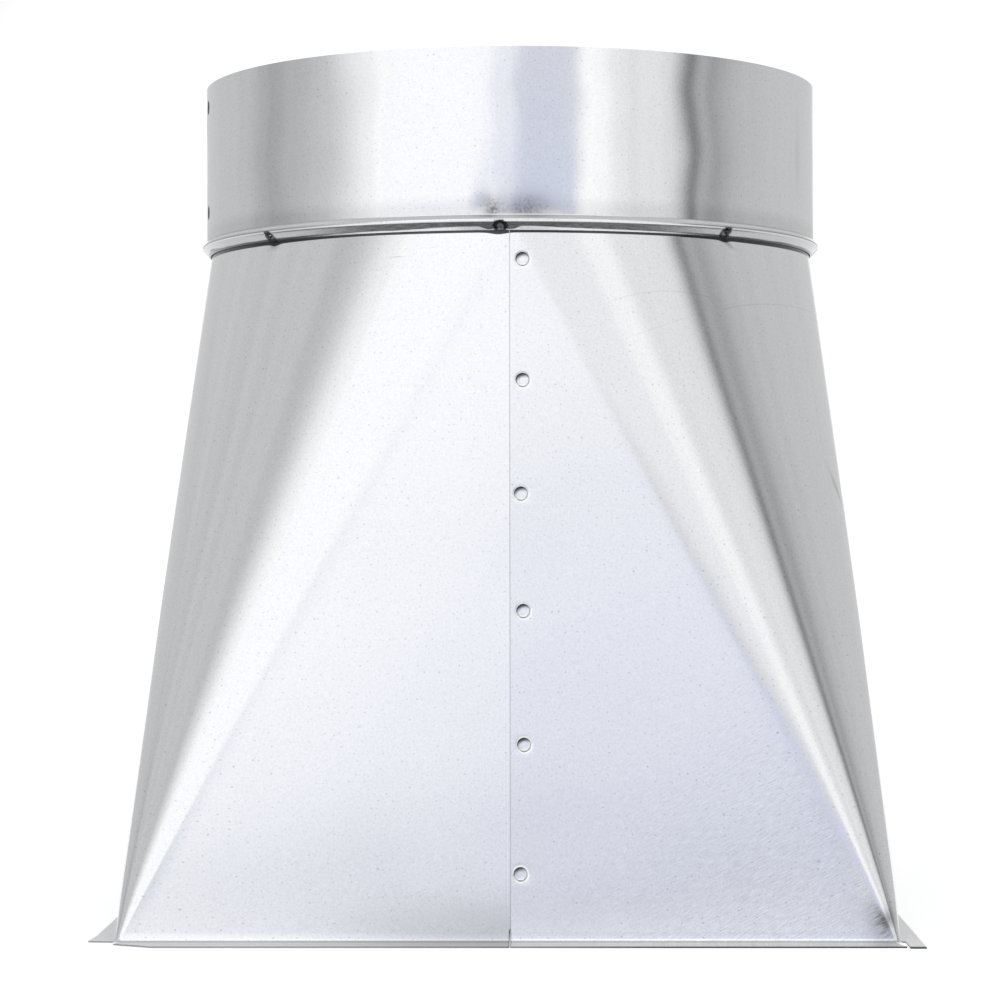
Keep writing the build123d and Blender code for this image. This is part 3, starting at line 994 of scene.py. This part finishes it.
def collar_marks_and_shading(spot, x, y, z, turn, reach, grain):
    """The bead's underside with a painted dark reflection and a painted highlight on its lip, painted shade
    round each crimp and along the bead's upper side, smudges on the wall that are partly painted shade, and
    painted shade towards the bead's root.
    """
    streaks = spot.point(turn * 30.0, z * 2600.0, 0.0).noise(1.0, 2.0, 5.0)
    slow = spot.point(turn * 8.0, z * 60.0, 0.0).noise(1.0, 1.0, 6.0)
    ragged = spot.noise(900.0, 2.0, 8.0)
    outside = reach.ease(0.1252, 0.1254)
    facing = turn.size().ease(0.72, 0.38)

    # Painted highlight on the lip: the painted dark reflection starts at highlight_top, which rises higher on
    # either side of the centre crimp
    beside = ((turn - centre_crimp) * collar_radius).size()
    lens = beside.ease(0.0045, 0.0085) * beside.ease(0.045, 0.007, 0.25, 1.0)
    highlight_top = 0.2662 + 0.0005 * slow + 0.0010 * lens * facing

    # Painted shade: a black ring round each crimp's floor
    crimp_shade = Wired(z.tree, 0.0)
    for azimuth in crimp_azimuths:
        away = (turn - math.radians((azimuth + 180) % 360 - 180)) * collar_radius
        rise = z - crimp_height
        distance = (away * away + rise * rise) ** 0.5 + 0.0025 * ragged
        crimp_shade = crimp_shade.most(distance.ease(0.0031, 0.0023) * distance.ease(0.0009, 0.0014, 0.3, 1.0))
    crimp_shade = crimp_shade * z.ease(0.2700, 0.2692)

    # Underside: a painted dark reflection, a dark strip above the lip in front and a grey one at the sides
    underside = z.ease(0.2691, 0.2687) * outside
    dark_reflection = underside * (z - highlight_top).ease(-0.0001, 0.0002) * facing * (0.88 + 0.4 * streaks)
    mouth = (z + 0.0006 * slow - 0.0008 * turn.hill(-1.28, 0.07)).ease(0.2669, 0.2664)
    brow = z.hill(0.2688, 0.0003) * turn.size().ease(1.0, 0.7)
    dark_reflection = dark_reflection + underside * (1.0 - facing) * (0.48 + 0.52 * mouth + 0.5 * brow * (1.0 - mouth))

    # Smudges on the wall above the centre crimp that are partly painted shade of the hollows there, a faint
    # one at the right, and painted shade in the crease where the bead's upper side meets the wall and over
    # the crest's highlight at the sides
    smudge_and_shade = 0.56 * turn.hill(-0.040, 0.028) * z.hill(0.2727, 0.0058)
    smudge_and_shade = smudge_and_shade + 0.5 * turn.hill(0.064, 0.064) * z.hill(0.2727, 0.0062)
    smudge_and_shade = smudge_and_shade + 0.1 * turn.hill(1.16, 0.02) * z.hill(0.302, 0.012)
    smudge_and_shade = (smudge_and_shade * (1.0 + 2.4 * grain)).least(0.8) * z.ease(0.2717, 0.2722)
    crease_and_crest_shade = 0.3 * z.hill(0.2716, 0.0003) + 0.45 * z.hill(0.2696, 0.0007)
    crease_and_crest_shade = crease_and_crest_shade * turn.size().ease(0.4, 0.75)

    tone = (1.0 - 0.93 * dark_reflection) * (1.0 - 0.88 * crimp_shade) * (1.0 - smudge_and_shade) * (1.0 - crease_and_crest_shade)
    # Painted shade on the wall, darker towards the bead's root
    tone = tone * (1.0 - 0.13 * z.ease(0.2800, 0.2735) * z.ease(0.2712, 0.2718))
    wobble = 0.06 * spot.point(turn * 5.0, z * 42.0, 0.0).noise(1.0, 0.0, 9.0)
    slack = spot.point(wobble * turn.math("COSINE", turn), wobble * turn.math("SINE", turn), 0.0)
    return tone, slack, 0.0, 0.0


collar_finish = zinc("zinc_collar", 11.0, collar_marks_and_shading)
end_forming(roller, roller_inputs["Geometry"], x_ring, y_ring, height, collar_finish)
collar = formed("collar_ring", ring, roller, collar_sizes)
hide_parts("collar")
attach(collar, "root")

# Studio floor: a wide white light table that glows a little, so that it runs into the white of
# the room behind the duct. It turns grey towards the camera and behind it: painted shade, as if its light
# fell off there.

floor_half = 12.0
floor_grey = 0.42
floor_white = 0.9
floor_corners = [
    (side * floor_half, end * floor_half, 0) for side, end in ((-1, -1), (1, -1), (1, 1), (-1, 1))]
floor_mesh = bpy.data.meshes.new("studio_floor")
floor_mesh.from_pydata(floor_corners, [], [(0, 1, 2, 3)])
studio_floor = bpy.data.objects.new("studio_floor", floor_mesh)
bpy.context.scene.collection.objects.link(studio_floor)
floor_paint = bpy.data.materials.new("floor_paint")
floor_paint.use_nodes = True
floor_shader = floor_paint.node_tree.nodes["Principled BSDF"]
wire = Wired(floor_paint.node_tree, None)
floor_spot = Wired(wire.tree, wire.node("ShaderNodeTexCoord").outputs["Object"])
# Painted shade: white near the duct, grey towards the camera and beyond
pale = floor_spot.parts()[1].ease(-2.4, -0.9, floor_grey, floor_white)
floor_colour = wire.node("ShaderNodeCombineColor", Red=pale, Green=pale, Blue=pale)
feed(floor_shader, "Base Color", Wired(wire.tree, floor_colour.outputs[0]))
feed(floor_shader, "Emission Color", Wired(wire.tree, floor_colour.outputs[0]))
feed(floor_shader, "Roughness", 0.9)
feed(floor_shader, "Emission Strength", 0.4)
floor_mesh.materials.append(floor_paint)

# Studio light: a pale room whose walls are soft panels, by the side they stand on (degrees from
# the camera's side, left minus) and how bright they are. In front stands a wide bluish panel
# that brightens upwards, above the walls runs a bright ring of light, and the ceiling is greyer.

wall_lights = [
    (-180, 1.06), (-168, 1.06), (-163, 0.66), (-112, 0.6), (-101, 0.44), (-94, 0.45), (-84, 0.55),
    (-70, 0.66), (-58, 1.0), (-47, 1.2), (24, 1.0), (29, 1.22), (35, 1.18), (43, 0.94), (63, 0.9),
    (67, 0.6), (70, 0.24), (72, 0.14), (74, 0.42), (78, 0.54), (80, 0.38), (84, 0.44), (90, 0.54),
    (100, 0.62), (163, 0.66), (168, 1.06), (180, 1.06),
]
# (below, above) brightness of the front panel in red, green and blue, and of its upper edge
front_panel = [(0.746, 1.2), (0.779, 1.2), (0.917, 1.23)]
panel_top = 0.82
ceiling_light = 0.65

room = bpy.data.worlds.new("studio_room")
room.use_nodes = True
wire = Wired(room.node_tree, None)
facing = Wired(wire.tree, wire.node("ShaderNodeTexCoord").outputs["Generated"])
x_way, y_way, z_way = facing.parts()
level = z_way.math("ARCSINE", z_way) * (180 / math.pi)
bearing = x_way.math("ARCTAN2", x_way, 0.0 - y_way) * (180 / math.pi)

# The panels at the left lean, all their edges waver a little, and fine stripes run down them
leaning = bearing - 0.5 * (level - 8.0) * bearing.ease(-20.0, -40.0) * bearing.ease(-130.0, -110.0)
leaning = leaning + 1.2 * (level - 8.0).most(0.0).least(14.0) * bearing.ease(-76.0, -96.0)
wavering = leaning + 6.0 * facing.noise(2.6, 1.0, 4.0)
panels = wire.node(
    "ShaderNodeValToRGB",
    {"stops": [((side + 180) / 360, (light / 2, light / 2, light / 2)) for side, light in wall_lights]},
    Fac=wavering / 360 + 0.5)
panel_light = 2.0 * Wired(wire.tree, panels.outputs[0])
panel_light = panel_light.most(0.65 * level.ease(9.5, 13.0) * bearing.ease(-60.0, -75.0))
strips = facing.point(bearing * 0.24, level * 0.03, 0.0).noise(1.0, 2.0, 3.0)
panel_light = panel_light * (1.0 + 0.4 * strips * bearing.size().ease(150.0, 125.0))
right_of_front = bearing.ease(18.0, 24.0) * bearing.ease(52.0, 44.0)
panel_light = panel_light * (1.0 - 0.05 * level.ease(9.5, 13.0) * right_of_front)

# The front panel brightens upwards and to the left, and is dimmer just over the floor
steady = bearing.least(-3.0)
seen = steady + (bearing - steady) * bearing.ease(2.0, 5.5)
lift = (0.8 * level - 1.25 * seen - 1.8 - 6.5 * level.ease(2.8, 0.6)) / 16.0
lift = lift.least(1.0).most(0.5 * level.ease(10.5, 15.0)).most(0.0)
in_front = leaning.ease(-46.0, -42.0) * wavering.ease(28.0, 24.0)
upper_front = (level + 4.5 * facing.noise(9.0, 3.0, 6.0)).ease(8.9, 10.5)
near_horizon = level.ease(-1.0, 4.5, 0.8, 1.0)

overhead = level.ease(31.0, 38.0) * level.ease(60.0, 54.0) * bearing.size().ease(70.0, 45.0, 0.7, 1.5)
ceiling = level.ease(54.0, 60.0) * ceiling_light
walls = level.ease(38.0, 31.0)
lights = []
for below, above in front_panel:
    plain = (below + (panel_top - below) * upper_front) * near_horizon
    front = plain + (above - plain) * lift
    wall = panel_light * (1.0 - in_front) + front * in_front
    lights.append(wall * walls + overhead + ceiling)
light = wire.node("ShaderNodeCombineColor", Red=lights[0], Green=lights[1], Blue=lights[2])
room.node_tree.links.new(light.outputs[0], room.node_tree.nodes["Background"].inputs["Color"])
bpy.context.scene.world = room
